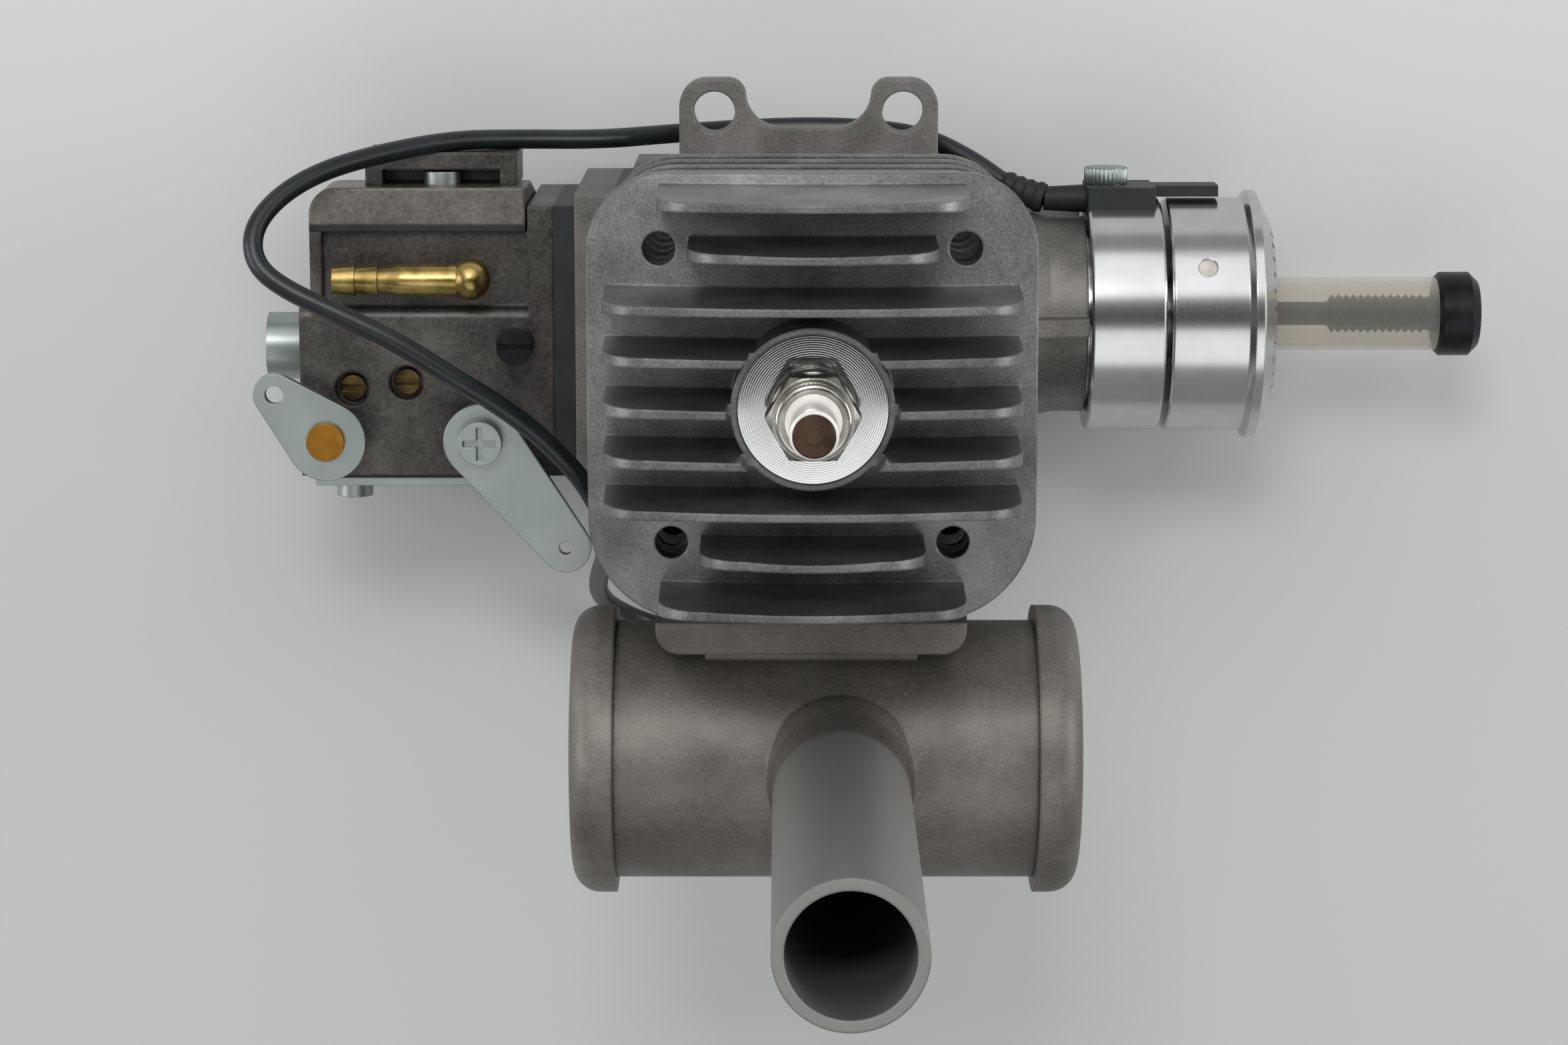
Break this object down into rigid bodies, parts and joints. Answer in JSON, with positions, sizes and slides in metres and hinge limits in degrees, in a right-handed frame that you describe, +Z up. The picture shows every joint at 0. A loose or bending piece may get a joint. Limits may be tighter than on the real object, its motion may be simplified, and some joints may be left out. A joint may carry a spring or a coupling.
{
  "type": "model aircraft engine",
  "caption": "Single-cylinder two-stroke model aircraft engine with finned head, beam-mount crankcase, rear carburettor, side muffler with outlet tube and front propeller hub.",
  "frame": {"origin": "centre of the four beam-mount holes, on the crankshaft axis below the cylinder axis", "axes": "+X along the crankshaft towards the propeller, +Z up the cylinder towards the spark plug, -Y towards the muffler"},
  "size_m": [0.1633, 0.0986, 0.1609],
  "materials": {
    "cast_case": "sandblasted casting",
    "cast_head": "sandblasted casting",
    "machined_aluminium": "turned",
    "carb_zinc": "die cast",
    "zinc_plate": "zinc plated",
    "bright_steel": "ground",
    "nickel_plate": "nickel plated",
    "black_oxide": "black oxide",
    "brass": "machined",
    "plug_ceramic": "glazed",
    "black_plastic": "moulded",
    "clear_sleeve": "clear tube",
    "gasket_paper": "pressed sheet",
    "black_rubber": "moulded",
    "lead_jacket": "extruded"
  },
  "bodies": {
    "engine": {"crankcase": "cast_case", "nose_ring": "machined_aluminium", "cylinder": "cast_head", "base_gasket": "gasket_paper", "cylinder_bolts": "black_oxide", "bearing_outer_races": "bright_steel", "bearing_balls": "bright_steel", "shaft_seal": "black_rubber", "muffler_body": "cast_case", "muffler_end_caps": "cast_case", "muffler_gasket": "gasket_paper", "muffler_screws": "black_oxide", "plug_shell": "nickel_plate", "plug_washer": "nickel_plate", "plug_insulator": "plug_ceramic", "plug_terminal": "nickel_plate", "sensor_housing": "black_plastic", "sensor_screw": "zinc_plate", "sensor_gland": "black_rubber", "sensor_lead": "lead_jacket", "lead_plug": "black_plastic", "intake_gasket": "black_plastic", "reed_manifold": "cast_case", "manifold_screws": "zinc_plate", "reed_petals": "bright_steel", "carb_insulator": "black_plastic", "carb_body": "carb_zinc", "pump_cover": "carb_zinc", "pump_gasket": "black_rubber", "pump_bracket": "carb_zinc", "metering_cover": "zinc_plate", "metering_diaphragm": "black_rubber", "cover_screws": "zinc_plate", "fuel_barb": "brass", "carb_bolts": "zinc_plate", "idle_spring": "bright_steel"},
    "crank": {"crankshaft": "bright_steel", "bearing_inner_races": "bright_steel", "prop_driver": "machined_aluminium", "timing_magnet": "nickel_plate", "prop_bolt": "black_oxide", "bolt_sleeve": "clear_sleeve"},
    "piston_body": {"piston": "machined_aluminium", "piston_ring": "bright_steel", "wrist_pin": "bright_steel", "pin_circlips": "bright_steel"},
    "rod": {"connecting_rod": "machined_aluminium", "crankpin": "bright_steel"},
    "throttle": {"throttle_shaft": "bright_steel", "throttle_plate": "brass", "throttle_lever": "zinc_plate", "throttle_screw": "zinc_plate"},
    "choke": {"choke_shaft": "brass", "choke_plate": "brass", "choke_lever": "zinc_plate"},
    "high_needle_body": {"high_needle": "brass"},
    "low_needle_body": {"low_needle": "brass"},
    "idle_screw_body": {"idle_screw": "brass"}
  },
  "joints": [
    {"name": "crank_turn", "type": "hinge", "parent": "engine", "child": "crank", "pos_m": [0, 0, 0], "axis": [1, 0, 0], "continuous": true},
    {"name": "piston_stroke", "type": "slide", "parent": "engine", "child": "piston_body", "axis": [0, 0, 1], "range_m": [-0.022, 0]},
    {"name": "rod_swing", "type": "hinge", "parent": "piston_body", "child": "rod", "pos_m": [0, 0, 0.055], "axis": [1, 0, 0], "range_deg": [-14.5, 14.5]},
    {"name": "throttle_turn", "type": "hinge", "parent": "engine", "child": "throttle", "pos_m": [-0.0431, -0.0144, 0], "axis": [0, 0, 1], "range_deg": [-75, 0]},
    {"name": "choke_turn", "type": "hinge", "parent": "engine", "child": "choke", "pos_m": [-0.0634, -0.0144, 0], "axis": [0, 0, 1], "range_deg": [0, 80]},
    {"name": "high_needle_turn", "type": "hinge", "parent": "engine", "child": "high_needle_body", "pos_m": [-0.0604, -0.0082, 0.014], "axis": [0, 0, 1], "range_deg": [-180, 180]},
    {"name": "low_needle_turn", "type": "hinge", "parent": "engine", "child": "low_needle_body", "pos_m": [-0.0532, -0.0074, 0.014], "axis": [0, 0, 1], "range_deg": [-180, 180]},
    {"name": "idle_screw_turn", "type": "hinge", "parent": "engine", "child": "idle_screw_body", "pos_m": [-0.0386, -0.002, 0.014], "axis": [0, 0, 1], "range_deg": [-180, 180]}
  ]
}
